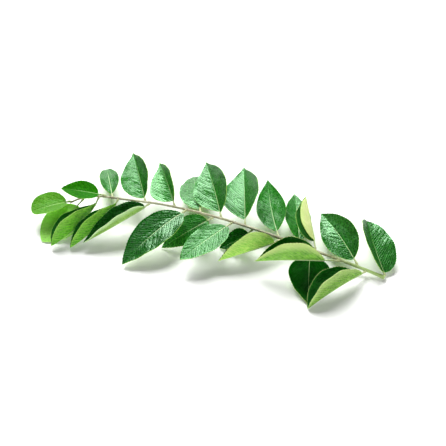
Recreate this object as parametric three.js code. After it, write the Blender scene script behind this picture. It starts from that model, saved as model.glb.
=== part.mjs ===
// A curry leaf sprig: one slim stem with two rows of leaflets and one at its end, lying on a surface.
// Millimetres and degrees, +Z up. The stem runs along X, from its cut end at +X to its tip at -X.
import * as THREE from 'three';

// Where the sprig's own zero lies, so that its footprint is centred and its lowest leaflet is on z = 0.
const SPRIG_OFFSET = new THREE.Vector3(2.88, 10.8, -0.01);

// The middle line of the stem, from the cut end to the tip.
const STEM_POINTS = [
  [109, -12, 1.6],
  [97, -12, 4],
  [83, -12.5, 7],
  [55, -12.5, 11],
  [30, -11.5, 13.5],
  [-3, -10.5, 15],
  [-36, -11, 14.5],
  [-62, -13.5, 13],
  [-81, -16, 12],
  [-91, -20, 10.4],
  [-97, -24.5, 8.7],
].map((point) => new THREE.Vector3(...point));
const STEM_RADIUS_AT_BASE = 0.95;
const STEM_RADIUS_AT_TIP = 0.55;
const STEM_SWELLING = 0.25;
const STEM_SWELLING_LENGTH = 5;
const STEM_SIDES = 10;
const STEM_STEPS = 34;

// The leaflet's stalk and blade.
const STALK_RADIUS = 0.55;
const STALK_GAP = 0.3;
const BLADE_THICKNESS = 0.4;
const MIDRIB_DEPTH = 0.45;
const MIDRIB_WIDTH = 0.8;
const TIP_HALF_WIDTH = 0.35;

// How finely a blade is cut: places along its midrib, and columns on each side of it.
const BLADE_STATIONS = [0, 0.04, 0.1, 0.2, 0.3, 0.42, 0.54, 0.66, 0.78, 0.88, 0.95, 1];
const BLADE_COLUMNS = 3;
const AXIS_STEPS = 48;
const CURL_STEPS = 6;

// Each leaflet: where its stalk leaves the stem, the length of its stalk, the length and width of its
// blade, the heading and pitch of its chord, how much it arches and veers along its length, its roll and
// twist about the midrib, the fold of each half, how much more each half curls at its margin, and the powers
// of its outline's rise from the stalk and of its fall to the tip.
const LEAFLETS = [
  // name, x, stalk, length, width, heading, pitch, arch, veer, roll, twist, fold, curl, rise, fall
  ['leaflet_right_01', 108.5, 1, 39, 26, 121, 12, -35, -20, 28, 0, 18, 18, 0.46, 0.62],
  ['leaflet_right_02', 91, 3.5, 42, 23.5, 135, 4, -30, 0, -26, 0, 8, 28, 0.72, 1.12],
  ['leaflet_right_03', 64.5, 5.5, 34, 21, 116, 12, -10, 0, -55, 0, 79, 2, 0.6, 1.02],
  ['leaflet_right_04', 54.5, 3, 49, 17, 110, -7, -20, 0, 6, 0, 8, 12, 0.7, 1.15],
  ['leaflet_right_05', 40.5, 4.3, 44, 19.4, 116, 5, 16, -10, -12, 0, 5, 16, 0.85, 1.18],
  ['leaflet_right_06', 18.2, 3.5, 46, 29, 110, 5, -20, 0, -28, 0, 14, 24, 0.95, 1.55],
  ['leaflet_right_07', 2, 3, 46, 28, 122, 5, -25, 0, -36, 0, 14, 24, 0.84, 1.5],
  ['leaflet_right_08', -12, 3, 48, 23, 117, -16.5, -28, 0, -10, 0, 2, 8, 0.6, 0.9],
  ['leaflet_right_09', -29.5, 3, 40, 26, 126, 0, -30, 0, -48, 0, 22, 30, 0.6, 1.5],
  ['leaflet_right_10', -49.3, 2, 43, 26, 124, 4, -20, 0, -34, 0, 20, 30, 0.66, 1.38],
  ['leaflet_right_11', -71.5, 2.5, 38, 14, 122, -15, -30, 0, 0, 0, 14, 24, 0.6, 1.02],
  ['leaflet_right_12', -76, 4, 25, 15, 191, 4, -10, 0, -8, 0, 6, 14, 0.6, 0.9],
  ['leaflet_end', -97, 2, 23, 21, 220, -2, -15, 0, 2, 0, 8, 20, 0.5, 0.5],
  ['leaflet_left_12', -90, 5.5, 33, 26, 250, -14.5, 2, 0, -3, 0, -3, 4, 0.6, 0.8],
  ['leaflet_left_11', -80, 4, 42, 24, 251, -12, -4, -42, 32, 0, 54, 32, 1.2, 0.78],
  ['leaflet_left_10', -67, 3, 42, 20, 249, -13.5, 0, -32, 34, 0, 54, 32, 1.0, 0.8],
  ['leaflet_left_09', -46, 3, 46, 21, 234, -9, 8, 0, 20, 0, 40, 28, 0.6, 1.02],
  ['leaflet_left_08', -21, 3, 51, 23.5, 242, -14, -30, 0, -3, 0, 4, 16, 0.65, 0.95],
  ['leaflet_left_07', -3, 3, 34, 19, 222, -22, -10, 0, -20, 0, 5, 18, 0.6, 1.02],
  ['leaflet_left_06', 10, 4, 38, 20, 241.5, -5, -10, 0, 1, 0, -1, 9, 0.6, 0.85],
  ['leaflet_left_05', 23.5, 3, 21, 14, 211, -30, 22, 0, -12, 0, 8, 16, 0.6, 1.02],
  ['leaflet_left_04', 42, 3.5, 37, 24, 220, -5.5, 6, 0, 49, 0, 41, 38, 0.6, 1.02],
  ['leaflet_left_03', 62, 3, 34, 27, 285, -13, 40, 0, -5, 0, 6, 20, 0.6, 1.02],
  ['leaflet_left_02', 80, 9, 43, 29, 203, 3, -25, -12, 28, 0, 40, 52, 1.05, 1.2],
  ['leaflet_left_01', 97, 2.5, 43, 27, 236, -4, -20, 0, 29, 0, 47, 38, 0.95, 0.85],
];

const STEM_FINISH = new THREE.MeshStandardMaterial({ color: 0x8a7a52, roughness: 0.6, metalness: 0 });
const LEAF_FINISH = new THREE.MeshStandardMaterial({ color: 0x2f7a36, roughness: 0.35, metalness: 0 });

const radians = THREE.MathUtils.degToRad;

// The point and direction of the stem where it passes x, on a smooth curve through its points.
function stemAt(x) {
  let i = 0;
  while (i < STEM_POINTS.length - 2 && x < STEM_POINTS[i + 1].x) i += 1;
  const before = STEM_POINTS[Math.max(i - 1, 0)];
  const start = STEM_POINTS[i];
  const end = STEM_POINTS[i + 1];
  const after = STEM_POINTS[Math.min(i + 2, STEM_POINTS.length - 1)];
  const span = end.x - start.x;
  const t = (x - start.x) / span;
  const slopeIn = end.clone().sub(before).divideScalar(end.x - before.x).multiplyScalar(span);
  const slopeOut = after.clone().sub(start).divideScalar(after.x - start.x).multiplyScalar(span);
  const point = new THREE.Vector3()
    .addScaledVector(start, 2 * t ** 3 - 3 * t ** 2 + 1)
    .addScaledVector(slopeIn, t ** 3 - 2 * t ** 2 + t)
    .addScaledVector(end, 3 * t ** 2 - 2 * t ** 3)
    .addScaledVector(slopeOut, t ** 3 - t ** 2);
  const direction = new THREE.Vector3()
    .addScaledVector(start, 6 * t ** 2 - 6 * t)
    .addScaledVector(slopeIn, 3 * t ** 2 - 4 * t + 1)
    .addScaledVector(end, 6 * t - 6 * t ** 2)
    .addScaledVector(slopeOut, 3 * t ** 2 - 2 * t)
    .normalize();
  return { point, direction };
}

// The stem thins from its cut end to its tip, and swells where it was joined to the twig.
function stemRadius(x) {
  const first = STEM_POINTS[0].x;
  const last = STEM_POINTS[STEM_POINTS.length - 1].x;
  const share = (first - x) / (first - last);
  const swelling = STEM_SWELLING * Math.exp(-(((first - x) / STEM_SWELLING_LENGTH) ** 2));
  return THREE.MathUtils.lerp(STEM_RADIUS_AT_BASE, STEM_RADIUS_AT_TIP, share) + swelling;
}

// A closed skin over a row of rings that all have the same number of points.
function skinRings(rings, capCentres) {
  const count = rings[0].length;
  const positions = [];
  const triangles = [];
  for (const ring of rings) for (const point of ring) positions.push(point.x, point.y, point.z);
  for (let i = 0; i < rings.length - 1; i += 1) {
    for (let k = 0; k < count; k += 1) {
      const here = i * count + k;
      const beside = i * count + ((k + 1) % count);
      triangles.push(here, here + count, beside + count);
      triangles.push(here, beside + count, beside);
    }
  }
  const lastRing = (rings.length - 1) * count;
  if (capCentres) {
    const centre = positions.length / 3;
    for (const point of capCentres) positions.push(point.x, point.y, point.z);
    for (let k = 0; k < count; k += 1) {
      const next = (k + 1) % count;
      triangles.push(centre, k, next);
      triangles.push(centre + 1, lastRing + next, lastRing + k);
    }
  } else {
    // The first half of a ring is its upper row and the second half comes back below it.
    for (let k = 0; k < count / 2 - 1; k += 1) {
      const below = count - 1 - k;
      triangles.push(k, k + 1, below - 1);
      triangles.push(k, below - 1, below);
      triangles.push(lastRing + k, lastRing + below - 1, lastRing + k + 1);
      triangles.push(lastRing + k, lastRing + below, lastRing + below - 1);
    }
  }
  const geometry = new THREE.BufferGeometry();
  geometry.setAttribute('position', new THREE.Float32BufferAttribute(positions, 3));
  geometry.setIndex(triangles);
  geometry.computeVertexNormals();
  return geometry;
}

function makeStem() {
  const first = STEM_POINTS[0].x;
  const last = STEM_POINTS[STEM_POINTS.length - 1].x;
  const rings = [];
  for (let i = 0; i <= STEM_STEPS; i += 1) {
    const x = THREE.MathUtils.lerp(first, last, i / STEM_STEPS);
    const { point, direction } = stemAt(x);
    const across = new THREE.Vector3(-direction.y, direction.x, 0).normalize();
    const above = new THREE.Vector3().crossVectors(direction, across);
    const ring = [];
    for (let k = 0; k < STEM_SIDES; k += 1) {
      const turn = (-2 * Math.PI * k) / STEM_SIDES;
      const spoke = across.clone().multiplyScalar(Math.cos(turn)).addScaledVector(above, Math.sin(turn));
      ring.push(point.clone().addScaledVector(spoke, stemRadius(x)));
    }
    rings.push(ring);
  }
  const geometry = skinRings(rings, [stemAt(first).point, stemAt(last).point]);
  return new THREE.Mesh(geometry, STEM_FINISH);
}

// Half the width of a blade at a share of its length.
function bladeHalfWidth(share, width, rise, fall) {
  const widest = rise / (rise + fall);
  const peak = widest ** rise * (1 - widest) ** fall;
  return ((width / 2) * share ** rise * (1 - share) ** fall) / peak;
}

// Points and directions along a leaflet's axis, in equal steps from the stem to the leaflet's tip.
function leafletAxis(leaflet) {
  const { x, stalk, length, heading, pitch, arch, veer, roll, twist } = leaflet;
  const total = stalk + length;
  const step = total / AXIS_STEPS;
  const frames = [];
  for (let i = 0; i <= AXIS_STEPS; i += 1) {
    const share = i / AXIS_STEPS - 0.5;
    const turn = radians(heading + veer * share);
    const rise = radians(pitch + arch * share);
    const bank = radians(roll + twist * share);
    const along = new THREE.Vector3(
      Math.cos(rise) * Math.cos(turn), Math.cos(rise) * Math.sin(turn), Math.sin(rise));
    const level = new THREE.Vector3(-Math.sin(turn), Math.cos(turn), 0);
    const upright = new THREE.Vector3().crossVectors(along, level);
    const left = level.clone().multiplyScalar(Math.cos(bank)).addScaledVector(upright, Math.sin(bank));
    const up = upright.clone().multiplyScalar(Math.cos(bank)).addScaledVector(level, -Math.sin(bank));
    frames.push({ along, left, up });
  }
  // The stalk starts on the side of the stem that faces the leaflet.
  const stem = stemAt(x);
  const parallel = frames[0].along.dot(stem.direction);
  const outward = frames[0].along.clone().addScaledVector(stem.direction, -parallel).normalize();
  const clear = stemRadius(x) + STALK_GAP + STALK_RADIUS * Math.abs(parallel);
  frames[0].point = stem.point.clone().addScaledVector(outward, clear);
  for (let i = 1; i <= AXIS_STEPS; i += 1) {
    frames[i].point = frames[i - 1].point.clone().addScaledVector(frames[i - 1].along, step);
  }
  return { frames, step };
}

// The frame at a distance along the axis, between the two nearest steps.
function frameAt(axis, distance) {
  const place = Math.min(distance / axis.step, AXIS_STEPS);
  const i = Math.min(Math.floor(place), AXIS_STEPS - 1);
  const share = place - i;
  const blend = (key) => axis.frames[i][key].clone().lerp(axis.frames[i + 1][key], share);
  return { point: blend('point'), left: blend('left'), up: blend('up') };
}

// One ring round a leaflet: the upper face from its right margin to its left, and back below.
function leafletRing(leaflet, axis, distance, halfWidth, bladeShare) {
  const frame = frameAt(axis, distance);
  const { fold, curl } = leaflet;
  const upper = [];
  const lower = [];
  for (let j = -BLADE_COLUMNS; j <= BLADE_COLUMNS; j += 1) {
    const share = Math.abs(j) / BLADE_COLUMNS;
    const side = Math.sign(j);
    const reach = share * halfWidth;
    let out = 0;
    let lift = 0;
    let slope = 0;
    for (let m = 0; m < CURL_STEPS; m += 1) {
      slope = radians((fold + (curl * share * (m + 0.5)) / CURL_STEPS) * bladeShare);
      out += (Math.cos(slope) * reach) / CURL_STEPS;
      lift += (Math.sin(slope) * reach) / CURL_STEPS;
    }
    // The stalk is round and the blade is thin, with a midrib that stands out below.
    const round = STALK_RADIUS * Math.sqrt(Math.max(1 - share ** 2, 0.08));
    const rib = MIDRIB_DEPTH * Math.exp(-((reach / MIDRIB_WIDTH) ** 2));
    const above = THREE.MathUtils.lerp(round, BLADE_THICKNESS / 2, bladeShare);
    const below = THREE.MathUtils.lerp(round, BLADE_THICKNESS / 2 + rib, bladeShare);
    const middle = frame.point.clone().addScaledVector(frame.left, side * out).addScaledVector(frame.up, lift);
    const normal = frame.up.clone().multiplyScalar(Math.cos(slope) * (side === 0 ? 1 / Math.cos(slope) : 1));
    normal.addScaledVector(frame.left, -side * Math.sin(slope));
    upper.push(middle.clone().addScaledVector(normal, above));
    lower.unshift(middle.clone().addScaledVector(normal, -below));
  }
  return [...upper, ...lower];
}

function makeLeaflet(row) {
  const [name, x, stalk, length, width, heading, pitch, arch, veer, roll, twist, fold, curl, rise, fall] = row;
  const leaflet = { x, stalk, length, heading, pitch, arch, veer, roll, twist, fold, curl };
  const axis = leafletAxis(leaflet);
  const rings = [];
  for (const share of [0, 0.6]) {
    rings.push(leafletRing(leaflet, axis, share * stalk, STALK_RADIUS, 0));
  }
  for (const share of BLADE_STATIONS) {
    const narrowest = share < rise / (rise + fall) ? STALK_RADIUS : TIP_HALF_WIDTH;
    const halfWidth = Math.max(bladeHalfWidth(share, width, rise, fall), narrowest);
    const bladeShare = Math.min(1, share / BLADE_STATIONS[1]);
    rings.push(leafletRing(leaflet, axis, stalk + share * length, halfWidth, bladeShare));
  }
  const mesh = new THREE.Mesh(skinRings(rings), LEAF_FINISH);
  mesh.name = name;
  return mesh;
}

const sprig = new THREE.Group();
const stem = makeStem();
stem.name = 'stem';
sprig.add(stem);
for (const row of LEAFLETS) sprig.add(makeLeaflet(row));
sprig.position.copy(SPRIG_OFFSET);

export default sprig;
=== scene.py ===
"""A curry leaf sprig on a pale floor: one slim stem with two rows of glossy leaflets and one at its tip.

Everything is in metres, in the part's own frame, +Z up. The stem runs along X, from its cut end at +X to
its tip at -X, and the leaflets lie to its left (-Y) and right (+Y).
"""
import logging
import math
from dataclasses import dataclass, field, replace
from enum import Enum

import bpy
import numpy as np
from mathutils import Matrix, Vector


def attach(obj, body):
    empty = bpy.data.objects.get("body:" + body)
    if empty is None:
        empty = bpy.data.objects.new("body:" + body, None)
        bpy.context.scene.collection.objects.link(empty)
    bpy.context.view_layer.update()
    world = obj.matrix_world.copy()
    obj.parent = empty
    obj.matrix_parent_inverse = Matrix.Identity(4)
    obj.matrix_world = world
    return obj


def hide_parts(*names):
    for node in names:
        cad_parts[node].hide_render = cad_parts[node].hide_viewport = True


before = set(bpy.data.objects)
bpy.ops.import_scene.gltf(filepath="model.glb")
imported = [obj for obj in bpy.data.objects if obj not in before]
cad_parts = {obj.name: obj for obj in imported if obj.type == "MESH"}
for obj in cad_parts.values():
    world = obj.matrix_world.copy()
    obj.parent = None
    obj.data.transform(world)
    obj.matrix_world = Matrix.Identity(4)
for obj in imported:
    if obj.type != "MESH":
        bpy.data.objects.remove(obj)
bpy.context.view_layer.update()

LOG = logging.getLogger("curry_leaf_sprig")

MM = 0.001
BODY = "root"

# The sprig's own zero in the part's frame, where the camera also looks.
SPRIG_OFFSET = np.array((2.88, 10.8, -0.01)) * MM

# The flat maps on a leaflet: one in distances from the blade's base, one in shares of its shape.
DISTANCE_MAP = "distance"
SHARE_MAP = "share"
MAP_SPAN = 60 * MM

# Edges sharper than this stay sharp.
SMOOTH_ANGLE = math.radians(50)


@dataclass(frozen=True)
class VeinCourse:
    """How the side veins run, in millimetres, with the stagger and both wanders as shares of the spacing.

    Each rate says how quickly a wander comes and goes, along the blade or across it.
    """

    spacing: float = 3.7
    lean: float = 0.92
    bend: float = 0.022
    stagger: float = 0.25
    slow_wander: float = 0.06
    slow_rate: float = 0.55
    swing: float = 1.3
    swing_rate: float = 0.45
    cross_wander: float = 0.05
    cross_along: float = -0.31
    cross_across: float = 0.83


VEINS = VeinCourse()


def linear(code: str) -> tuple[float, float, float, float]:
    """Turns a screen colour into the linear one that materials take.

    Args:
        code: The colour as six hexadecimal digits.

    Returns:
        Red, green, blue and an alpha of 1.
    """
    levels = [int(code[i:i + 2], 16) / 255 for i in (0, 2, 4)]
    curved = [level / 12.92 if level <= 0.04045 else ((level + 0.055) / 1.055) ** 2.4 for level in levels]
    return curved[0], curved[1], curved[2], 1.0


class Tone(Enum):
    """How old a leaflet is, and how much light and shade is painted into its greens."""

    DEEP = "deep"
    FRESH = "fresh"
    YOUNG = "young"
    LIT = "lit"
    DARK = "dark"
    SHADED = "shaded"
    PALE = "pale"
    PALE_LIT = "pale_lit"
    SATIN = "satin"
    BRIGHT = "bright"
    SUNLIT = "sunlit"
    MELLOW = "mellow"
    SHADED_DEEP = "shaded_deep"
    RIMMED = "rimmed"
    SHEEN = "sheen"
    SOFT = "soft"


@dataclass(frozen=True)
class BladeColours:
    """The greens of one tone of leaflet, as six hexadecimal digits each, and how its faces take the light.

    Each face runs in patches from its shade to its own green. Glow colours the light that has come through
    to the upper face. The lower face pales towards the margin, partly a paler margin of its own and partly a
    painted sheen, in the colour that its veins take.
    """

    shade: str
    body: str
    vein: str
    glow: str
    under: str
    under_shade: str
    gloss: float
    roughness: float
    # painted sheen: how far the lower face pales towards the margin, partly a paler margin of its own
    pale_rim_and_sheen: float = 0.25
    # the lower face's vein colour, also the colour of the sheen painted along its margin
    under_vein_and_sheen: str = "c8f478"
    rib: str = "b0cc90"
    light_through: float = 0.35


DEEP_GREENS = BladeColours("034006", "117412", "58b44a", "30a018", "a8e05c", "649c2c", 0.85, 0.23)
# Painted shade: dark, dull greens for leaflets that lie in the shade of others.
SHADED_GREENS = BladeColours("012c02", "065606", "1e7c1a", "0c8004", "bcec70", "6cb82c", 0.25, 0.26)
PALE_GREENS = BladeColours("0c5410", "1c7a20", "4a9a40", "349c1c", "7cdc28", "288804", 0.8, 0.3, pale_rim_and_sheen=0.2)
# Painted highlight: a strong pale sheen painted along the lower face's margin, over a darker green.
BRIGHT_GREENS = BladeColours("053c08", "0e5c10", "3c8c34", "2c9018", "a2e854", "3c9c18", 0.5, 0.3,
                             pale_rim_and_sheen=0.85, under_vein_and_sheen="e8fca0")

TONE_COLOURS: dict[Tone, BladeColours] = {
    Tone.DEEP: DEEP_GREENS,
    Tone.SATIN: replace(DEEP_GREENS, gloss=0.55, roughness=0.25),
    Tone.SOFT: replace(DEEP_GREENS, gloss=0.3, roughness=0.26),
    # Painted light: the deep greens made lighter for a leaflet in a highlight, with more gloss.
    Tone.SHEEN: BladeColours("0a5008", "1e8c1c", "64bc54", "38ac20", "a8e05c", "649c2c", 1.0, 0.24),
    # Painted shade: the deep greens made darker for leaflets whose halves face away from the lights.
    Tone.SHADED_DEEP: BladeColours("023404", "0b5a10", "4aa43e", "269414", "a8e05c", "649c2c", 0.95, 0.22),
    # Painted shade: darker greens for a leaflet whose far half faces away from the lights.
    Tone.DARK: BladeColours("012602", "085208", "2c8428", "148008", "d0f490", "a4d868", 0.68, 0.175),
    Tone.SHADED: SHADED_GREENS,
    # Painted highlight: a whitish sheen painted along the lower face's margin.
    Tone.RIMMED: replace(SHADED_GREENS, vein="2c8c24", under="acdc48", under_shade="64a41c", gloss=0.45,
                         roughness=0.24, pale_rim_and_sheen=0.7, under_vein_and_sheen="e4ffc8"),
    Tone.PALE: PALE_GREENS,
    # The lower face's pale margin is partly a painted sheen.
    Tone.MELLOW: replace(PALE_GREENS, under="8ecc3c", under_shade="34780c", pale_rim_and_sheen=0.42,
                         under_vein_and_sheen="e4f8a4"),
    Tone.BRIGHT: BRIGHT_GREENS,
    # Painted light: a lighter lower face for a leaflet that lies in another's shade.
    Tone.SUNLIT: replace(BRIGHT_GREENS, glow="40a81c", under="d8ff7c", under_shade="7cdc34", pale_rim_and_sheen=0.4),
    Tone.FRESH: BladeColours("165c04", "268205", "3c900c", "40a412", "a4d850", "7cbc34", 0.05, 0.45,
                             rib="5ca028"),
    Tone.YOUNG: BladeColours("387c0c", "589a20", "84b84c", "7cc036", "bcec74", "84c040", 0.15, 0.4,
                             rib="94c858"),
    # Painted light: pale greens for a leaflet that lies in the shade of others.
    Tone.LIT: BladeColours("94dc54", "b8fc78", "b4e084", "a0e050", "dcfc98", "b4e464", 0.15, 0.4),
    # Painted light: a lower face painted nearly white, paler than the leaflet's own green.
    Tone.PALE_LIT: BladeColours("063c08", "12600e", "4a9a40", "98d044", "f8f8bc", "d0e880", 0.4, 0.4,
                            light_through=0.1),
}


@dataclass(frozen=True)
class LeafletPlan:
    """Where one leaflet stands on the stem and how it is bent, in millimetres and degrees.

    It joins the stem at x. The heading is turned from +X towards +Y and the pitch is upwards, and they grow
    by veer and arch from the stem to the tip. Roll raises its left side, fold raises both halves at the
    midrib, and curl raises them further towards the margin. Rise and fall are its outline's powers at the
    base and the tip, lower for a blunter end.
    """

    name: str
    x: float
    stalk: float
    length: float
    width: float
    heading: float
    pitch: float
    arch: float
    veer: float
    roll: float
    fold: float
    curl: float
    rise: float
    fall: float
    tone: Tone = Tone.DEEP


LEAFLET_PLANS: tuple[LeafletPlan, ...] = (
    LeafletPlan("leaflet_right_01", 108.5, 1, 39, 26, 121, 12, -35, -20, 28, 18, 18, 0.46, 0.62, Tone.SHADED_DEEP),
    LeafletPlan("leaflet_right_02", 91, 3.5, 42, 23.5, 135, 4, -30, 0, -26, 8, 28, 0.72, 1.12, Tone.SHADED_DEEP),
    LeafletPlan("leaflet_right_03", 64.5, 5.5, 34, 21, 116, 12, -10, 0, -55, 79, 2, 0.6, 1.02, Tone.PALE_LIT),
    LeafletPlan("leaflet_right_04", 54.5, 3, 49, 17, 110, -7, -20, 0, 6, 8, 12, 0.7, 1.15),
    LeafletPlan("leaflet_right_05", 40.5, 4.3, 44, 19.4, 116, 5, 16, -10, -12, 5, 16, 0.85, 1.18, Tone.SOFT),
    LeafletPlan("leaflet_right_06", 18.2, 3.5, 46, 29, 110, 5, -20, 0, -28, 14, 24, 0.95, 1.55),
    LeafletPlan("leaflet_right_07", 2, 3, 46, 28, 122, 5, -25, 0, -36, 14, 24, 0.84, 1.5),
    LeafletPlan("leaflet_right_08", -12, 3, 48, 23, 117, -16.5, -28, 0, -10, 2, 8, 0.6, 0.9),
    LeafletPlan("leaflet_right_09", -29.5, 3, 40, 26, 126, 0, -30, 0, -48, 22, 30, 0.6, 1.5, Tone.SHEEN),
    LeafletPlan("leaflet_right_10", -49.3, 2, 43, 26, 124, 4, -20, 0, -34, 20, 30, 0.66, 1.38, Tone.SATIN),
    LeafletPlan("leaflet_right_11", -71.5, 2.5, 38, 14, 122, -15, -30, 0, 0, 14, 24, 0.6, 1.02),
    LeafletPlan("leaflet_right_12", -76, 4, 25, 15, 191, 4, -10, 0, -8, 6, 14, 0.6, 0.9, Tone.FRESH),
    LeafletPlan("leaflet_end", -97, 2, 23, 21, 220, -2, -15, 0, 2, 8, 20, 0.5, 0.5, Tone.YOUNG),
    LeafletPlan("leaflet_left_12", -90, 5.5, 33, 26, 250, -14.5, 2, 0, -3, -3, 4, 0.6, 0.8, Tone.LIT),
    LeafletPlan("leaflet_left_11", -80, 4, 42, 24, 251, -12, -4, -42, 32, 54, 32, 1.2, 0.78, Tone.PALE),
    LeafletPlan("leaflet_left_10", -67, 3, 42, 20, 249, -13.5, 0, -32, 34, 54, 32, 1.0, 0.8, Tone.PALE),
    LeafletPlan("leaflet_left_09", -46, 3, 46, 21, 234, -9, 8, 0, 20, 40, 28, 0.6, 1.02, Tone.RIMMED),
    LeafletPlan("leaflet_left_08", -21, 3, 51, 23.5, 242, -14, -30, 0, -3, 4, 16, 0.65, 0.95, Tone.DARK),
    LeafletPlan("leaflet_left_07", -3, 3, 34, 19, 222, -22, -10, 0, -20, 5, 18, 0.6, 1.02),
    LeafletPlan("leaflet_left_06", 10, 4, 38, 20, 241.5, -5, -10, 0, 1, -1, 9, 0.6, 0.85, Tone.SATIN),
    LeafletPlan("leaflet_left_05", 23.5, 3, 21, 14, 211, -30, 22, 0, -12, 8, 16, 0.6, 1.02, Tone.SHADED),
    LeafletPlan("leaflet_left_04", 42, 3.5, 37, 24, 220, -5.5, 6, 0, 49, 41, 38, 0.6, 1.02, Tone.SUNLIT),
    LeafletPlan("leaflet_left_03", 62, 3, 34, 27, 285, -13, 40, 0, -5, 6, 20, 0.6, 1.02, Tone.SHADED),
    LeafletPlan("leaflet_left_02", 80, 9, 43, 29, 203, 3, -25, -12, 28, 40, 52, 1.05, 1.2, Tone.BRIGHT),
    LeafletPlan("leaflet_left_01", 97, 2.5, 43, 27, 236, -4, -20, 0, 29, 47, 38, 0.95, 0.85, Tone.MELLOW),
)


def smooth_step(value: np.ndarray, low: float, high: float) -> np.ndarray:
    """Rises smoothly from 0 at low to 1 at high."""
    share = np.clip((value - low) / (high - low), 0, 1)
    return share * share * (3 - 2 * share)


def unit(vectors: np.ndarray) -> np.ndarray:
    """Each row at length 1."""
    return vectors / np.linalg.norm(vectors, axis=-1, keepdims=True)


@dataclass
class StemPath:
    """The middle line and thickness of the stem, in millimetres from the sprig's own zero."""

    points: tuple[tuple[float, float, float], ...] = (
        (109, -12, 1.6), (97, -12, 4), (83, -12.5, 7), (55, -12.5, 11), (30, -11.5, 13.5), (-3, -10.5, 15),
        (-36, -11, 14.5), (-62, -13.5, 13), (-81, -16, 12), (-91, -20, 10.4), (-97, -24.5, 8.7),
    )
    radius_at_base: float = 0.95
    radius_at_tip: float = 0.55
    swelling: float = 0.25
    swelling_length: float = 5.0

    def at(self, x: float) -> tuple[np.ndarray, np.ndarray]:
        """Finds the stem where it passes x, on a smooth curve through its points.

        Args:
            x: The place along the stem.

        Returns:
            The point on the middle line, and the direction towards the tip.
        """
        points = np.array(self.points, float)
        i = 0
        while i < len(points) - 2 and x < points[i + 1][0]:
            i += 1
        before, start, end = points[max(i - 1, 0)], points[i], points[i + 1]
        after = points[min(i + 2, len(points) - 1)]
        span = end[0] - start[0]
        t = (x - start[0]) / span
        slope_in = (end - before) / (end[0] - before[0]) * span
        slope_out = (after - start) / (after[0] - start[0]) * span
        point = (start * (2 * t ** 3 - 3 * t ** 2 + 1) + slope_in * (t ** 3 - 2 * t ** 2 + t)
                 + end * (3 * t ** 2 - 2 * t ** 3) + slope_out * (t ** 3 - t ** 2))
        direction = (start * (6 * t ** 2 - 6 * t) + slope_in * (3 * t ** 2 - 4 * t + 1)
                     + end * (6 * t - 6 * t ** 2) + slope_out * (3 * t ** 2 - 2 * t))
        return point, unit(direction)

    def radius(self, x: float) -> float:
        """The stem's radius where it passes x."""
        first, last = self.points[0][0], self.points[-1][0]
        share = (first - x) / (first - last)
        swelling = self.swelling * math.exp(-(((first - x) / self.swelling_length) ** 2))
        return self.radius_at_base + (self.radius_at_tip - self.radius_at_base) * share + swelling


class LeafletAxis:
    """The bent middle line of one leaflet, from the stem to its tip, with its left and up directions."""

    STEPS = 48
    STALK_GAP = 0.3
    STALK_RADIUS = 0.55

    def __init__(self, plan: LeafletPlan, stem: StemPath) -> None:
        """Lays out the axis in equal steps.

        Args:
            plan: The leaflet's place and bends.
            stem: The stem that it grows from.
        """
        total = plan.stalk + plan.length
        share = np.arange(self.STEPS + 1) / self.STEPS - 0.5
        turn = np.radians(plan.heading + plan.veer * share)
        rise = np.radians(plan.pitch + plan.arch * share)
        bank = math.radians(plan.roll)
        self.along = np.stack((np.cos(rise) * np.cos(turn), np.cos(rise) * np.sin(turn), np.sin(rise)), 1)
        level = np.stack((-np.sin(turn), np.cos(turn), np.zeros_like(turn)), 1)
        upright = np.cross(self.along, level)
        self.left = level * math.cos(bank) + upright * math.sin(bank)
        self.up = upright * math.cos(bank) - level * math.sin(bank)
        centre, direction = stem.at(plan.x)
        parallel = float(self.along[0] @ direction)
        outward = unit(self.along[0] - direction * parallel)
        self.clearance = stem.radius(plan.x) + self.STALK_GAP + self.STALK_RADIUS * abs(parallel)
        steps = np.vstack((np.zeros(3), np.cumsum(self.along[:-1], axis=0))) * (total / self.STEPS)
        self.points = centre + outward * self.clearance + steps
        self.places = np.linspace(0, total, self.STEPS + 1)

    def sample(self, distance: np.ndarray) -> tuple[np.ndarray, np.ndarray, np.ndarray]:
        """Reads the axis at distances from the stem; a distance below 0 runs straight back into it.

        Args:
            distance: Distances along the axis.

        Returns:
            The points, and the left and up directions there.
        """
        def blend(rows: np.ndarray) -> np.ndarray:
            return np.stack([np.interp(distance, self.places, rows[:, k]) for k in range(3)], 1)

        back = np.minimum(distance, 0)[:, None] * self.along[0]
        return blend(self.points) + back, blend(self.left), blend(self.up)


def deselect_all() -> None:
    """Leaves nothing selected."""
    bpy.ops.object.select_all(action="DESELECT")


def make_active(thing: bpy.types.Object) -> None:
    """Selects one object alone and makes it the active one."""
    deselect_all()
    thing.select_set(True)
    bpy.context.view_layer.objects.active = thing


def own_copy(master: bpy.types.Object, name: str) -> bpy.types.Object:
    """Copies a master piece with a mesh of its own.

    Args:
        master: The piece to copy.
        name: The copy's name.

    Returns:
        The copy, linked to the scene.
    """
    piece = master.copy()
    piece.data = master.data.copy()
    piece.name = piece.data.name = name
    bpy.context.scene.collection.objects.link(piece)
    return piece


def read_points(mesh: bpy.types.Mesh) -> np.ndarray:
    """The mesh's vertices as rows."""
    flat = np.empty(len(mesh.vertices) * 3)
    mesh.vertices.foreach_get("co", flat)
    return flat.reshape(-1, 3)


def write_points(mesh: bpy.types.Mesh, points: np.ndarray) -> None:
    """Moves the mesh's vertices to the given rows."""
    mesh.vertices.foreach_set("co", np.ascontiguousarray(points).ravel())
    mesh.update()


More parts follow.
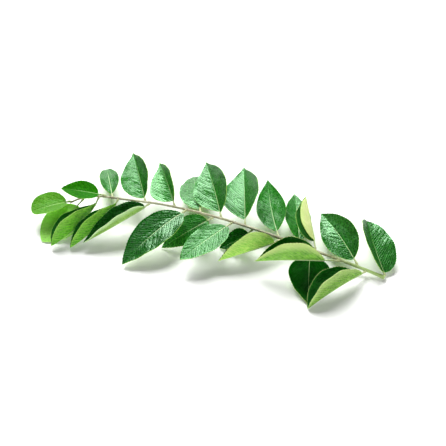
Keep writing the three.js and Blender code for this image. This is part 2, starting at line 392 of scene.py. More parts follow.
def write_map(mesh: bpy.types.Mesh, name: str, values: np.ndarray) -> None:
    """Gives the mesh a flat map from one pair of values for each vertex.

    Args:
        mesh: The mesh.
        name: The map's name.
        values: Two columns, one row for each vertex.
    """
    layer = mesh.uv_layers.get(name) or mesh.uv_layers.new(name=name)
    corners = np.empty(len(mesh.loops), dtype=np.int32)
    mesh.loops.foreach_get("vertex_index", corners)
    layer.data.foreach_set("uv", np.ascontiguousarray(values[corners], dtype=np.float32).ravel())


def flat_sheet(name: str, along: int, across: int) -> bpy.types.Object:
    """Models the flat sheet that every blade is cut from: 1 long in X, and 1 to each side in Y.

    Args:
        name: The sheet's name.
        along: Faces along the midrib.
        across: Faces from margin to margin.

    Returns:
        The sheet, without a map.
    """
    deselect_all()
    bpy.ops.mesh.primitive_grid_add(x_subdivisions=along, y_subdivisions=across, size=2, location=(0, 0, 0),
                                    calc_uvs=False)
    sheet = bpy.context.active_object
    sheet.name = name
    bpy.ops.object.mode_set(mode="EDIT")
    bpy.ops.mesh.select_all(action="SELECT")
    bpy.ops.transform.translate(value=(1, 0, 0))
    bpy.ops.transform.resize(value=(0.5, 1, 1), center_override=(0, 0, 0))
    bpy.ops.object.mode_set(mode="OBJECT")
    return sheet


def straight_rod(name: str, sides: int, steps: int) -> bpy.types.Object:
    """Models the straight rod that the stem and the stalks are bent from: 1 long in X, and 1 in radius.

    Args:
        name: The rod's name.
        sides: Sides round it.
        steps: Lengths that it is drawn out in.

    Returns:
        The closed rod.
    """
    deselect_all()
    bpy.ops.mesh.primitive_circle_add(vertices=sides, radius=1, fill_type="TRIFAN", location=(0, 0, 0),
                                      rotation=(0, math.pi / 2, 0))
    rod = bpy.context.active_object
    rod.name = name
    bpy.ops.object.transform_apply(location=False, rotation=True, scale=False)
    bpy.ops.object.mode_set(mode="EDIT")
    bpy.ops.mesh.select_all(action="SELECT")
    for _ in range(steps):
        bpy.ops.mesh.extrude_region_move(TRANSFORM_OT_translate={"value": (1 / steps, 0, 0)})
    bpy.ops.mesh.select_all(action="SELECT")
    bpy.ops.mesh.normals_make_consistent(inside=False)
    bpy.ops.object.mode_set(mode="OBJECT")
    return rod


class Board:
    """Adds nodes to one tree and links them, with numbers or sockets as inputs."""

    def __init__(self, tree: bpy.types.NodeTree) -> None:
        """Keeps the tree."""
        self.tree = tree

    def node(self, kind: str, inputs: dict[str | int, object] | None = None, **settings: object
             ) -> bpy.types.Node:
        """Adds one node.

        Args:
            kind: The node's type.
            inputs: What each input takes, by name or number.
            settings: The node's own settings.

        Returns:
            The node.
        """
        made = self.tree.nodes.new(kind)
        for key, value in settings.items():
            setattr(made, key, value)
        for key, value in (inputs or {}).items():
            self.feed(made.inputs[key], value)
        return made

    def feed(self, socket: bpy.types.NodeSocket, value: object) -> None:
        """Links an input to the given socket, or sets it to the given value."""
        if isinstance(value, bpy.types.NodeSocket):
            self.tree.links.new(value, socket)
        else:
            socket.default_value = value

    def maths(self, operation: str, *values: object) -> bpy.types.NodeSocket:
        """The result of one sum."""
        return self.node("ShaderNodeMath", dict(enumerate(values)), operation=operation).outputs[0]

    def ramp(self, value: object, low: float, high: float, start: float = 0.0, end: float = 1.0
             ) -> bpy.types.NodeSocket:
        """Takes a value from low..high to start..end, smoothly and clamped.

        Args:
            value: The value.
            low: Where it starts to rise.
            high: Where it stops.
            start: The result at low.
            end: The result at high.

        Returns:
            The result.
        """
        inputs = {"Value": value, "From Min": low, "From Max": high, "To Min": start, "To Max": end}
        return self.node("ShaderNodeMapRange", inputs, interpolation_type="SMOOTHSTEP").outputs[0]

    def blend(self, share: object, first: object, second: object) -> bpy.types.NodeSocket:
        """A colour between two, by a share."""
        made = self.node("ShaderNodeMix", data_type="RGBA")
        self.feed(made.inputs["Factor"], share)
        self.feed(made.inputs[6], first)
        self.feed(made.inputs[7], second)
        return made.outputs[2]

    def noise(self, vector: object, scale: float, detail: float = 3.0, roughness: float = 0.55
              ) -> bpy.types.NodeSocket:
        """A soft cloudy value about 0.5.

        Args:
            vector: Where it is read.
            scale: How fine it is.
            detail: How many finer layers it has.
            roughness: How strong they are.

        Returns:
            The value.
        """
        inputs = {"Vector": vector, "Scale": scale, "Detail": detail, "Roughness": roughness}
        return self.node("ShaderNodeTexNoise", inputs).outputs["Fac"]

    def weigh(self, masks: dict[str, bpy.types.NodeSocket], shares: dict[str, float]) -> bpy.types.NodeSocket:
        """Adds masks up, each times its share."""
        total = 0.0
        for name, share in shares.items():
            total = self.maths("MULTIPLY_ADD", masks[name], share, total)
        return total

    def lay(self, colour: object, over: object, masks: dict[str, bpy.types.NodeSocket],
            strengths: dict[str, float]) -> bpy.types.NodeSocket:
        """Lays one colour over another through each mask in turn, with its strength."""
        for name, strength in strengths.items():
            colour = self.blend(self.maths("MULTIPLY", masks[name], strength), colour, over)
        return colour


def new_group(name: str, inputs: dict[str, float], outputs: tuple[str, ...]) -> bpy.types.NodeTree:
    """Starts a shader node group whose sockets all carry values.

    Args:
        name: The group's name.
        inputs: Each input's name and its usual value.
        outputs: The outputs' names.

    Returns:
        The group, without nodes.
    """
    group = bpy.data.node_groups.new(name, "ShaderNodeTree")
    for key, value in inputs.items():
        socket = group.interface.new_socket(name=key, in_out="INPUT", socket_type="NodeSocketFloat")
        socket.default_value = value
    for key in outputs:
        group.interface.new_socket(name=key, in_out="OUTPUT", socket_type="NodeSocketFloat")
    return group


class LeafPatterns:
    """The node groups that the leaf finishes share: the veins, and the mottled and dotted skin."""

    def __init__(self) -> None:
        """Makes both groups."""
        self.veins = self.make_veins()
        self.skin = self.make_skin()

    @staticmethod
    def make_veins() -> bpy.types.NodeTree:
        """The midrib, side veins, net and margin as masks, drawn on the blade's distance and share maps."""
        group = new_group("leaf_veins", {"Side Vein Width": 0.07, "Midrib Width": 1.0},
                          ("Midrib", "Side Veins", "Net", "Cells", "Streaks", "Rim", "Margin"))
        board = Board(group)
        taken = board.node("NodeGroupInput").outputs
        flat = board.node("ShaderNodeUVMap", uv_map=DISTANCE_MAP).outputs[0]
        parts = board.node("ShaderNodeSeparateXYZ", {0: flat}).outputs
        share = board.node("ShaderNodeSeparateXYZ", {
            0: board.node("ShaderNodeUVMap", uv_map=SHARE_MAP).outputs[0]}).outputs
        span = MAP_SPAN / MM
        along = board.maths("MULTIPLY", parts[0], span)
        across = board.maths("MULTIPLY_ADD", parts[1], span, -span / 2)
        reach = board.maths("ABSOLUTE", across)
        lean = board.maths("MULTIPLY", reach, VEINS.lean)
        bend = board.maths("MULTIPLY", board.maths("MULTIPLY", reach, reach), VEINS.bend)
        start = board.maths("SUBTRACT", along, board.maths("ADD", lean, bend))
        offset = board.maths("MULTIPLY", board.maths("SIGN", across), VEINS.stagger)
        swing = board.maths("SINE", board.maths("MULTIPLY", across, VEINS.swing_rate))
        swing = board.maths("MULTIPLY", swing, VEINS.swing)
        slow = board.maths("SINE", board.maths("MULTIPLY_ADD", along, VEINS.slow_rate, swing))
        cross = board.maths("MULTIPLY", across, VEINS.cross_across)
        cross = board.maths("SINE", board.maths("MULTIPLY_ADD", along, VEINS.cross_along, cross))
        wander = board.maths("MULTIPLY_ADD", cross, VEINS.cross_wander, offset)
        wander = board.maths("MULTIPLY_ADD", slow, VEINS.slow_wander, wander)
        phase = board.maths("ADD", board.maths("DIVIDE", start, VEINS.spacing), wander)
        from_vein = board.maths("PINGPONG", phase, 0.5)
        vein = board.ramp(from_vein, taken["Side Vein Width"], 0)
        between = board.ramp(from_vein, board.maths("SUBTRACT", 0.5, taken["Side Vein Width"]), 0.5)
        vein = board.maths("MULTIPLY_ADD", between, 0.5, vein)
        rim = board.maths("ABSOLUTE", board.maths("MULTIPLY_ADD", share[1], 2, -1))
        inner = board.ramp(rim, 0.97, 0.75)
        midrib_width = board.maths("MULTIPLY", board.ramp(share[0], 0, 1, 0.36, 0.18), taken["Midrib Width"])
        midrib = board.ramp(board.maths("DIVIDE", reach, midrib_width), 1.15, 0.7)
        cells = board.node("ShaderNodeTexVoronoi", {"Vector": flat, "Scale": 38.0, "Randomness": 0.9},
                           feature="DISTANCE_TO_EDGE").outputs["Distance"]
        net = board.ramp(cells, 0.16, 0.03)
        pillows = board.ramp(cells, 0, 0.35)
        drawn = board.node("ShaderNodeCombineXYZ", {0: start, 1: board.maths("MULTIPLY", across, 0.42)})
        streaks = board.ramp(board.noise(drawn.outputs[0], 0.85, 2.0, 0.65), 0.38, 0.62)
        board.node("NodeGroupOutput", {
            "Midrib": midrib, "Side Veins": board.maths("MULTIPLY", vein, inner), "Net": net,
            "Cells": pillows, "Streaks": streaks, "Rim": board.ramp(rim, 0.5, 0.95),
            "Margin": board.ramp(rim, 0.955, 0.985)})
        return group

    @staticmethod
    def make_skin() -> bpy.types.NodeTree:
        """Slow mottling, fine specks, and the small oil dots of the leaf."""
        group = new_group("leaf_skin", {}, ("Mottle", "Speckle", "Dots"))
        board = Board(group)
        place = board.node("ShaderNodeTexCoord").outputs["Object"]
        mottle = board.noise(place, 90.0, 3.0, 0.6)
        speckle = board.noise(place, 640.0, 2.0, 0.6)
        flat = board.node("ShaderNodeUVMap", uv_map=DISTANCE_MAP).outputs[0]
        spots = board.node("ShaderNodeTexVoronoi", {"Vector": flat, "Scale": 95.0, "Randomness": 1.0},
                           feature="F1").outputs["Distance"]
        board.node("NodeGroupOutput", {
            "Mottle": board.ramp(mottle, 0.32, 0.68), "Speckle": board.ramp(speckle, 0.34, 0.66),
            "Dots": board.ramp(spots, 0.2, 0.1)})
        return group


def new_material(name: str) -> tuple[bpy.types.Material, Board, bpy.types.Node]:
    """Starts an empty node material.

    Args:
        name: The material's name.

    Returns:
        The material, its board and its output node.
    """
    material = bpy.data.materials.new(name)
    material.use_nodes = True
    material.node_tree.nodes.clear()
    board = Board(material.node_tree)
    return material, board, board.node("ShaderNodeOutputMaterial")


@dataclass(frozen=True)
class BladeFinish:
    """The two faces of a blade in one tone: the glossy upper one and the paler, duller lower one."""

    tone: Tone
    under_roughness: float = 0.5
    sheen: str = "c0ffc6"

    def upper(self, patterns: LeafPatterns) -> bpy.types.Material:
        """Makes the upper face's material.

        Args:
            patterns: The shared node groups.

        Returns:
            The material.
        """
        colours = TONE_COLOURS[self.tone]
        material, board, output = new_material(f"blade_upper_{self.tone.value}")
        veins = board.node("ShaderNodeGroup", node_tree=patterns.veins).outputs
        skin = board.node("ShaderNodeGroup", node_tree=patterns.skin).outputs
        masks = dict(veins.items()) | dict(skin.items())
        patchy = board.weigh(masks, {"Speckle": 0.3, "Mottle": 0.35, "Streaks": 0.35})
        colour = board.blend(patchy, linear(colours.shade), linear(colours.body))
        colour = board.lay(colour, linear(colours.vein), masks, {
            "Net": 0.4, "Dots": 0.14, "Side Veins": 0.42, "Margin": 0.55, "Midrib": 0.7})
        height = board.weigh(masks, {"Speckle": 0.2, "Cells": 0.28, "Side Veins": -0.7})
        bump = board.node("ShaderNodeBump", {"Strength": 1.0, "Distance": 0.0002, "Height": height})
        roughness = board.ramp(skin["Mottle"], 0, 1, colours.roughness + 0.05, colours.roughness - 0.04)
        roughness = board.maths("MULTIPLY_ADD", veins["Side Veins"], 0.3, roughness)
        shader = board.node("ShaderNodeBsdfPrincipled", {
            "Base Color": colour, "Roughness": roughness, "Normal": bump.outputs[0], "IOR": 1.5,
            "Specular Tint": linear(self.sheen), "Specular IOR Level": colours.gloss})
        self.mix_light_through(board, shader, colour, linear(colours.glow), bump.outputs[0], output)
        return material

    def under(self, patterns: LeafPatterns) -> bpy.types.Material:
        """Makes the lower face's material.

        Args:
            patterns: The shared node groups.

        Returns:
            The material.
        """
        colours = TONE_COLOURS[self.tone]
        material, board, output = new_material(f"blade_under_{self.tone.value}")
        veins = board.node("ShaderNodeGroup", {"Midrib Width": 2.4}, node_tree=patterns.veins).outputs
        skin = board.node("ShaderNodeGroup", node_tree=patterns.skin).outputs
        masks = dict(veins.items()) | dict(skin.items())
        patchy = board.weigh(masks, {"Speckle": 0.1, "Mottle": 0.2, "Streaks": 0.7})
        colour = board.blend(patchy, linear(colours.under_shade), linear(colours.under))
        colour = board.lay(colour, linear(colours.body), masks, {"Dots": 0.25})
        # Veins, margin and midrib in the pale vein colour, which is also a sheen painted towards the margin.
        colour = board.lay(colour, linear(colours.under_vein_and_sheen), masks, {
            "Net": 0.2, "Side Veins": 0.5, "Rim": colours.pale_rim_and_sheen, "Margin": 0.6, "Midrib": 0.5})
        height = board.weigh(masks, {"Streaks": 0.6, "Net": 0.5, "Side Veins": 0.9})
        bump = board.node("ShaderNodeBump", {"Strength": 0.9, "Distance": 0.0002, "Height": height})
        shader = board.node("ShaderNodeBsdfPrincipled", {
            "Base Color": colour, "Roughness": self.under_roughness, "Normal": bump.outputs[0], "IOR": 1.4})
        self.mix_light_through(board, shader, colour, linear(colours.under), bump.outputs[0], output)
        return material

    def mix_light_through(self, board: Board, shader: bpy.types.Node, colour: bpy.types.NodeSocket,
                          glow: tuple[float, float, float, float], normal: bpy.types.NodeSocket,
                          output: bpy.types.Node) -> None:
        """Lets some light through the blade, coloured by it.

        Args:
            board: The material's board.
            shader: The face's own shader.
            colour: The face's colour.
            glow: The colour of light that has come through.
            normal: The face's bumped normal.
            output: The material's output.
        """
        passed = board.blend(0.5, colour, glow)
        through = board.node("ShaderNodeBsdfTranslucent", {"Color": passed, "Normal": normal})
        mixed = board.node("ShaderNodeMixShader", {
            0: TONE_COLOURS[self.tone].light_through, 1: shader.outputs[0], 2: through.outputs[0]})
        board.feed(output.inputs["Surface"], mixed.outputs[0])


@dataclass(frozen=True)
class StalkFinish:
    """The leaflet's stalk and the rib that it becomes under the blade."""

    stalk: str = "a8b080"
    rib: str = "b0cc90"
    blotch: str = "7d7f46"
    roughness: float = 0.45

    def material(self, name: str) -> bpy.types.Material:
        """Makes the material, which turns from the stalk's colour to the rib's along the leaflet.

        Args:
            name: The material's name.

        Returns:
            The material.
        """
        material, board, output = new_material(name)
        share = board.node("ShaderNodeSeparateXYZ", {
            0: board.node("ShaderNodeUVMap", uv_map=SHARE_MAP).outputs[0]}).outputs[0]
        place = board.node("ShaderNodeTexCoord").outputs["Object"]
        mottle = board.ramp(board.noise(place, 700.0), 0.35, 0.65)
        colour = board.blend(board.ramp(share, 0.02, 0.2), linear(self.stalk), linear(self.rib))
        colour = board.blend(board.maths("MULTIPLY", mottle, 0.25), colour, linear(self.blotch))
        bump = board.node("ShaderNodeBump", {
            "Strength": 0.4, "Distance": 0.0001, "Height": board.noise(place, 2500.0)})
        shader = board.node("ShaderNodeBsdfPrincipled", {
            "Base Color": colour, "Roughness": self.roughness, "Normal": bump.outputs[0]})
        board.feed(output.inputs["Surface"], shader.outputs[0])
        return material


@dataclass(frozen=True)
class StemFinish:
    """The stem's thin bark: olive grey, greener by the cut end, with fine lengthwise lines and pale pores."""

    light: str = "b8b696"
    dark: str = "807c5e"
    young: str = "94bc5c"
    line: str = "50502c"
    pore: str = "d4dcb4"
    roughness: float = 0.45

    def material(self) -> bpy.types.Material:
        """Makes the material."""
        material, board, output = new_material("stem_bark")
        flat = board.node("ShaderNodeUVMap", uv_map=DISTANCE_MAP).outputs[0]
        drawn = board.node("ShaderNodeMapping", {0: flat, "Scale": (6.0, 60.0, 1.0)}).outputs[0]
        lines = board.noise(drawn, 4.0, 4.0)
        place = board.node("ShaderNodeTexCoord").outputs["Object"]
        patches = board.ramp(board.noise(place, 120.0), 0.35, 0.65)
        pores = board.node("ShaderNodeTexVoronoi", {"Vector": place, "Scale": 900.0}).outputs["Distance"]
        colour = board.blend(patches, linear(self.dark), linear(self.light))
        along = board.node("ShaderNodeSeparateXYZ", {0: flat}).outputs[0]
        colour = board.blend(board.ramp(along, 0.75, 0.1, 0, 0.75), colour, linear(self.young))
        masks = {"Lines": board.ramp(lines, 0.45, 0.65), "Pores": board.ramp(pores, 0.22, 0.1)}
        colour = board.lay(colour, linear(self.line), masks, {"Lines": 0.4})
        colour = board.lay(colour, linear(self.pore), masks, {"Pores": 0.6})
        height = board.maths("MULTIPLY_ADD", board.ramp(pores, 0.3, 0.1), 0.5, lines)
        bump = board.node("ShaderNodeBump", {"Strength": 0.6, "Distance": 0.00015, "Height": height})
        shader = board.node("ShaderNodeBsdfPrincipled", {
            "Base Color": colour, "Roughness": self.roughness, "Normal": bump.outputs[0]})
        board.feed(output.inputs["Surface"], shader.outputs[0])
        return material


@dataclass(frozen=True)
class StalkShape:
    """How thick a leaflet's stalk and rib are, and how one turns into the other, in millimetres and shares.

    The foot is the stalk's swollen end, the root its way into the stem, and the rib sinks below the blade.
    """

    radius: float = 0.5
    foot_swelling: float = 0.28
    foot_place: float = 0.3
    foot_length: float = 1.1
    root_share: float = 0.7
    rib_share: float = 0.975
    rib_loss: float = 0.38
    rib_power: float = 0.9
    blend_before: float = 0.8
    blend_after: float = 1.2
    sink_share: float = 0.7
    sink: float = 0.08


STALK_SHAPE = StalkShape()


@dataclass
class LeafletRow:
    """All the leaflets: one blade sheet and one stalk rod, copied and bent to each leaflet's plan."""

    stem: StemPath
    patterns: LeafPatterns
    faces_along: int = 160
    faces_across: int = 48
    rod_sides: int = 10
    rod_steps: int = 56
    closer_ends: float = 0.65
    closer_rim: float = 0.55
    blade_thickness: float = 0.26
    crease: float = 0.45
    tooth_length: float = 1.7
    tooth_depth: float = 0.27
    vein_relief: float = 0.12
    vein_width: float = 0.17
    between_share: float = 0.35
    between_width: float = 0.13
    groove_depth: float = 0.16
    groove_width: float = 0.5
    pucker_height: float = 0.06
    swell_height: float = 0.08
    wave_height: float = 0.22
    finishes: dict[Tone, tuple[bpy.types.Material, bpy.types.Material, bpy.types.Material]] = field(
        default_factory=dict)

    def __post_init__(self) -> None:
        """Models the sheet and the rod, and makes the finishes."""
        self.sheet = flat_sheet("blade_sheet", self.faces_along, self.faces_across)
        self.rod = straight_rod("stalk_rod", self.rod_sides, self.rod_steps)
        for tone in Tone:
            finish = BladeFinish(tone)
            stalk = StalkFinish(rib=TONE_COLOURS[tone].rib).material(f"stalk_{tone.value}")
            self.finishes[tone] = (finish.upper(self.patterns), finish.under(self.patterns), stalk)

    @staticmethod
    def half_width(share: np.ndarray, plan: LeafletPlan) -> np.ndarray:
        """Half the blade's width at shares of its length."""
        widest = plan.rise / (plan.rise + plan.fall)
        peak = widest ** plan.rise * (1 - widest) ** plan.fall
        share = np.clip(share, 0, 1)
        return plan.width / 2 * share ** plan.rise * (1 - share) ** plan.fall / peak

    def bend_blade(self, piece: bpy.types.Object, plan: LeafletPlan, axis: LeafletAxis,
                   rng: np.random.Generator) -> None:
        """Gives the flat sheet the blade's outline, teeth, veins and bends.

        Args:
            piece: The copy of the sheet.
            plan: The leaflet's place and bends.
            axis: Its middle line.
            rng: Its own small differences.
        """
        flat = read_points(piece.data)
        share = flat[:, 0] + self.closer_ends * (0.5 - 0.5 * np.cos(np.pi * flat[:, 0]) - flat[:, 0])
        spread = flat[:, 1] + self.closer_rim * (np.sin(flat[:, 1] * np.pi / 2) - flat[:, 1])
        side = np.sign(spread)
        rim = np.abs(spread)
        distance = share * plan.length
        ends = smooth_step(share, 0, 0.06) * smooth_step(share, 1, 0.94)
        uneven = rng.uniform(0.006, 0.014) * rng.choice((-1, 1))
        narrowest = 0.3 - 0.12 * share
        half = np.maximum(self.half_width(share + uneven * side * (1 - share), plan), narrowest)
        tooth = np.mod(distance / self.tooth_length + rng.uniform(0, 1) + 0.5 * side, 1)
        tooth = np.sin(np.pi * tooth ** 1.6) - 0.5
        reach = rim * half + self.tooth_depth * tooth * rim ** 12 * ends
        out, lift, slope = self.fold_blade(plan, rim, reach)
        phase = rng.uniform(0, 2 * np.pi, 2)[(side > 0).astype(int)]
        wave = np.sin(2 * np.pi * distance / rng.uniform(12, 16) + phase) * rim ** 3 * ends
        lift = lift + self.wave_height * wave
        start = rng.uniform(0, 20)
        relief = self.relief(distance + start, side * reach, rim, ends)
        relief += self.pucker(distance, side * reach, rng) * ends
        centre, left, up = axis.sample(plan.stalk + distance)
        normal = up * np.cos(slope)[:, None] - left * (side * np.sin(slope))[:, None]
        points = centre + left * (side * out)[:, None] + up * lift[:, None] + normal * relief[:, None]
        write_points(piece.data, points * MM + SPRIG_OFFSET)
        flat_place = np.stack(((distance + start) * MM / MAP_SPAN, 0.5 + side * reach * MM / MAP_SPAN), 1)
        write_map(piece.data, DISTANCE_MAP, flat_place)
        write_map(piece.data, SHARE_MAP, np.stack((share, 0.5 + spread / 2), 1))

    def fold_blade(self, plan: LeafletPlan, rim: np.ndarray, reach: np.ndarray
                   ) -> tuple[np.ndarray, np.ndarray, np.ndarray]:
        """Folds each half of the blade up from the midrib, with a rounded crease and a curling margin.

        Args:
            plan: The leaflet's bends.
            rim: Shares of the way to the margin.
            reach: Distances from the midrib along the blade.

        Returns:
            How far out and up each point goes, and the slope there.
        """
        steps = 10
        out, lift, slope = np.zeros_like(reach), np.zeros_like(reach), np.zeros_like(reach)
        for step in range(steps):
            part = (step + 0.5) / steps
            rounded = 1 - np.exp(-reach * part / self.crease)
            slope = np.radians(plan.fold * rounded + plan.curl * rim * part)
            out += np.cos(slope) * reach / steps
            lift += np.sin(slope) * reach / steps
        return out, lift, slope

    def relief(self, along: np.ndarray, across: np.ndarray, rim: np.ndarray, ends: np.ndarray) -> np.ndarray:
        """The height of the upper face: sunken midrib and side veins, with the skin raised between them.

        Args:
            along: Distances along the blade, with the leaflet's own start.
            across: Distances from the midrib, below 0 on the right half.
            rim: Shares of the way to the margin.
            ends: Fades to 0 at the blade's two ends.

        Returns:
            The heights.
        """
        reach = np.abs(across)
        swing = VEINS.swing * np.sin(VEINS.swing_rate * across)
        slow = VEINS.slow_wander * np.sin(VEINS.slow_rate * along + swing)
        cross = VEINS.cross_wander * np.sin(VEINS.cross_across * across + VEINS.cross_along * along)
        start = along - VEINS.lean * reach - VEINS.bend * reach ** 2
        phase = start / VEINS.spacing + VEINS.stagger * np.sign(across) + (slow + cross)
        from_vein = 0.5 - np.abs(np.mod(phase, 1) - 0.5)
        between = np.exp(-((0.5 - from_vein) / self.between_width) ** 2)
        sunken = np.exp(-(from_vein / self.vein_width) ** 2) + self.between_share * between
        fade = smooth_step(rim, 0.02, 0.16) * smooth_step(rim, 1, 0.75) * ends
        groove = self.groove_depth * np.exp(-(reach / self.groove_width) ** 2) * ends
        return self.vein_relief * (0.5 - sunken) * fade - groove

    def pucker(self, along: np.ndarray, across: np.ndarray, rng: np.random.Generator) -> np.ndarray:
        """Slow uneven swells of the skin, a few millimetres long.

        Args:
            along: Distances along the blade.
            across: Distances from the midrib.
            rng: The leaflet's own small differences.

        Returns:
            The heights.
        """
        height = np.zeros_like(along)
        for length in (4.5, 6.5, 9.0, 14.0):
            turn, first = rng.uniform(0, np.pi), rng.uniform(0, 2 * np.pi)
            place = along * np.cos(turn) + across * np.sin(turn)
            height += self.pucker_height * length / 9.0 * np.sin(2 * np.pi * place / length + first)
        reach = np.abs(across)
        length = rng.uniform(11, 17)
        first = rng.uniform(0, 2 * np.pi, 2)[(across > 0).astype(int)]
        swell = np.sin(2 * np.pi * (along - VEINS.lean * reach) / length + first)
        height += self.swell_height * swell * smooth_step(reach, 0.5, 4)
        return height * smooth_step(reach, 0.2, 3)

    def bend_rod(self, piece: bpy.types.Object, plan: LeafletPlan, axis: LeafletAxis) -> None:
        """Bends the straight rod along the leaflet: the stalk, then the rib under the blade.

        Args:
            piece: The copy of the rod.
            plan: The leaflet's place and bends.
            axis: Its middle line.
        """
        flat = read_points(piece.data)
        shape = STALK_SHAPE
        start = -axis.clearance * shape.root_share
        end = plan.stalk + plan.length * shape.rib_share
        distance = start + (end - start) * flat[:, 0]
        share = np.clip((distance - plan.stalk) / plan.length, 0, 1)
        on_blade = smooth_step(distance, plan.stalk - shape.blend_before, plan.stalk + shape.blend_after)
        foot = np.exp(-((distance - shape.foot_place) / shape.foot_length) ** 2)
        stalk_radius = shape.radius + shape.foot_swelling * foot
        rib_radius = shape.radius - shape.rib_loss * share ** shape.rib_power
        radius = stalk_radius * (1 - on_blade) + rib_radius * on_blade
        centre, left, up = axis.sample(distance)
        sink = on_blade * (shape.sink_share * rib_radius + shape.sink)
        points = centre - up * sink[:, None] + (left * flat[:, 1:2] + up * flat[:, 2:3]) * radius[:, None]
        write_points(piece.data, points * MM + SPRIG_OFFSET)
        turn = np.arctan2(flat[:, 2], flat[:, 1]) / (2 * np.pi)
        write_map(piece.data, DISTANCE_MAP, np.stack((distance * MM / MAP_SPAN, turn), 1))
        write_map(piece.data, SHARE_MAP, np.stack((flat[:, 0], turn), 1))

    def build(self, number: int, plan: LeafletPlan) -> None:
        """Makes one whole leaflet.

        Args:
            number: Its place in the table, which seeds its small differences.
            plan: The leaflet's place and bends.
        """
        axis = LeafletAxis(plan, self.stem)
        rng = np.random.default_rng(40 + number)
        blade = own_copy(self.sheet, plan.name + "_piece")
        self.bend_blade(blade, plan, axis, rng)
        for material in self.finishes[plan.tone]:
            blade.data.materials.append(material)
        make_active(blade)
        thicken = blade.modifiers.new("thickness", "SOLIDIFY")
        thicken.thickness = self.blade_thickness * MM
        thicken.offset = 0
        thicken.material_offset = 1
        thicken.material_offset_rim = 1
        bpy.ops.object.modifier_apply(modifier="thickness")
        rib = own_copy(self.rod, plan.name + "_rib")
        self.bend_rod(rib, plan, axis)
        for material in self.finishes[plan.tone]:
            rib.data.materials.append(material)
        for face in rib.data.polygons:
            face.material_index = 2
        make_active(blade)
        rib.select_set(True)
        bpy.ops.object.join()
        bpy.ops.object.shade_smooth_by_angle(angle=SMOOTH_ANGLE)
        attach(blade, BODY)
        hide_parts(plan.name)
        LOG.info("%s: %d faces, %s", blade.name, len(blade.data.polygons), plan.tone.value)

    def build_all(self) -> None:
        """Makes every leaflet, then takes the sheet and the rod away."""
        for number, plan in enumerate(LEAFLET_PLANS):
            self.build(number, plan)
        for master in (self.sheet, self.rod):
            bpy.data.objects.remove(master, do_unlink=True)


@dataclass
class Stem:
    """The bare stem, swollen a little where each leaflet joins it and at its cut end.

    Its low ridges come in sets, each with a height, a number round the stem and a turn along it.
    """

    path: StemPath
    sides: int = 20
    steps: int = 260
    joint_swelling: float = 0.16
    joint_length: float = 1.5
    ridges: tuple[tuple[float, int, float], ...] = ((0.03, 5, 0.05), (0.02, 3, -0.11))

    def build(self) -> None:
        """Bends the straight rod along the stem's path, with its swellings, ridges and bark."""
        piece = straight_rod("stem_piece", self.sides, self.steps)
        flat = read_points(piece.data)
        first, last = self.path.points[0][0], self.path.points[-1][0]
        joints = np.array([plan.x for plan in LEAFLET_PLANS])
        rows = []
        for share, y, z in flat:
            x = first + (last - first) * share
            point, direction = self.path.at(x)
            across = unit(np.array((-direction[1], direction[0], 0.0)))
            above = np.cross(direction, across)
            radius = self.path.radius(x)
            radius += self.joint_swelling * np.exp(-((x - joints) / self.joint_length) ** 2).max()
            angle = math.atan2(z, y)
            ridge = 1 + sum(height * math.cos(number * angle + turn * x)
                            for height, number, turn in self.ridges)
            spoke = math.hypot(y, z) * radius * ridge
            rows.append(point + across * (math.cos(angle) * spoke) + above * (math.sin(angle) * spoke))
        write_points(piece.data, np.array(rows) * MM + SPRIG_OFFSET)
        length = (first - last) * MM
        turn = np.arctan2(flat[:, 2], flat[:, 1]) / (2 * np.pi)
        write_map(piece.data, DISTANCE_MAP, np.stack((flat[:, 0] * length / MAP_SPAN, turn), 1))
        piece.data.materials.append(StemFinish().material())
        make_active(piece)
        bpy.ops.object.mode_set(mode="EDIT")
        bpy.ops.mesh.select_all(action="SELECT")
        bpy.ops.mesh.normals_make_consistent(inside=False)
        bpy.ops.object.mode_set(mode="OBJECT")
        bpy.ops.object.shade_smooth_by_angle(angle=SMOOTH_ANGLE)
        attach(piece, BODY)
        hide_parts("stem")
        LOG.info("%s: %d faces", piece.name, len(piece.data.polygons))


@dataclass(frozen=True)
class Lamp:
    """One rectangular light that faces the sprig: its name, place, width and height, and watts."""

    name: str
    place: tuple[float, float, float]
    size: tuple[float, float]
    power: float


LAMPS: tuple[Lamp, ...] = (
    Lamp("key", (-0.74, 1.18, 1.44), (1.3, 1.15), 90.0),
    Lamp("side", (-1.7, -0.1, 1.1), (0.6, 0.5), 3.0),
    Lamp("low", (-0.95, 1.75, 0.42), (1.3, 0.4), 9.0),
    Lamp("fill", (1.3, -1.5, 0.7), (2.0, 0.8), 38.0),
)


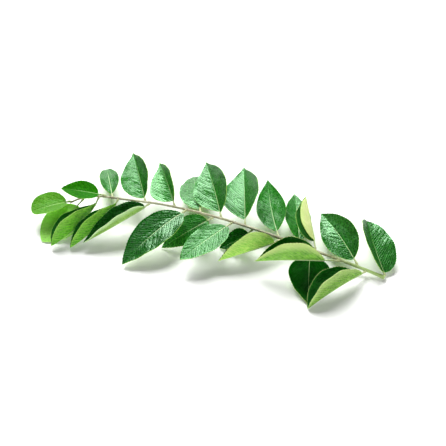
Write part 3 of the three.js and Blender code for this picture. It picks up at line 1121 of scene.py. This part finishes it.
@dataclass
class Studio:
    """The pale floor, the soft lights and the camera."""

    azimuth: float = 20.0
    elevation: float = 45.0
    distance: float = 0.5637
    lens: float = 70.0
    sky: float = 0.05
    floor_size: float = 3.0
    floor_colour: tuple[float, float, float, float] = (0.92, 0.92, 0.91, 1)

    def build(self) -> None:
        """Sets up the whole studio."""
        self.build_floor()
        self.build_lights()
        self.build_camera()
        bpy.context.scene.view_settings.view_transform = "Standard"

    def build_floor(self) -> None:
        """A wide pale floor."""
        deselect_all()
        bpy.ops.mesh.primitive_plane_add(size=self.floor_size, location=(0, 0, 0))
        floor = bpy.context.active_object
        floor.name = "floor"
        material, board, output = new_material("pale_floor")
        shader = board.node("ShaderNodeBsdfPrincipled", {"Base Color": self.floor_colour, "Roughness": 0.7})
        board.feed(output.inputs["Surface"], shader.outputs[0])
        floor.data.materials.append(material)

    def build_lights(self) -> None:
        """A dim even sky that the camera sees as white, and the soft lights round the sprig."""
        world = bpy.data.worlds.new("studio")
        world.use_nodes = True
        background = world.node_tree.nodes["Background"]
        background.inputs["Color"].default_value = (1, 1, 1, 1)
        board = Board(world.node_tree)
        seen = board.node("ShaderNodeLightPath").outputs["Is Camera Ray"]
        board.feed(background.inputs["Strength"], board.maths("MAXIMUM", seen, self.sky))
        bpy.context.scene.world = world
        for lamp in LAMPS:
            self.add_light(lamp)

    @staticmethod
    def add_light(lamp: Lamp) -> None:
        """Adds one of the lights."""
        deselect_all()
        bpy.ops.object.light_add(type="AREA", location=lamp.place)
        light = bpy.context.active_object
        light.name = lamp.name
        light.data.shape = "RECTANGLE"
        light.data.size, light.data.size_y = lamp.size
        light.data.energy = lamp.power
        light.rotation_euler = Vector(lamp.place).to_track_quat("Z", "Y").to_euler()

    def build_camera(self) -> None:
        """The camera at the photograph's angle, aimed at the sprig's own zero."""
        turn, rise = math.radians(self.azimuth), math.radians(self.elevation)
        back = np.array((math.sin(turn) * math.cos(rise), -math.cos(turn) * math.cos(rise), math.sin(rise)))
        deselect_all()
        bpy.ops.object.camera_add(location=tuple(SPRIG_OFFSET + back * self.distance),
                                  rotation=(math.pi / 2 - rise, 0, turn))
        camera = bpy.context.active_object
        camera.data.lens = self.lens
        camera.data.sensor_width = 36
        camera.data.clip_start = 0.01
        bpy.context.scene.camera = camera


def main() -> None:
    """Builds the stem, the leaflets and the studio, in order."""
    logging.basicConfig(level=logging.INFO, format="%(name)s: %(message)s")
    path = StemPath()
    Stem(path).build()
    LeafletRow(path, LeafPatterns()).build_all()
    Studio().build()


if __name__ == "__main__":
    main()
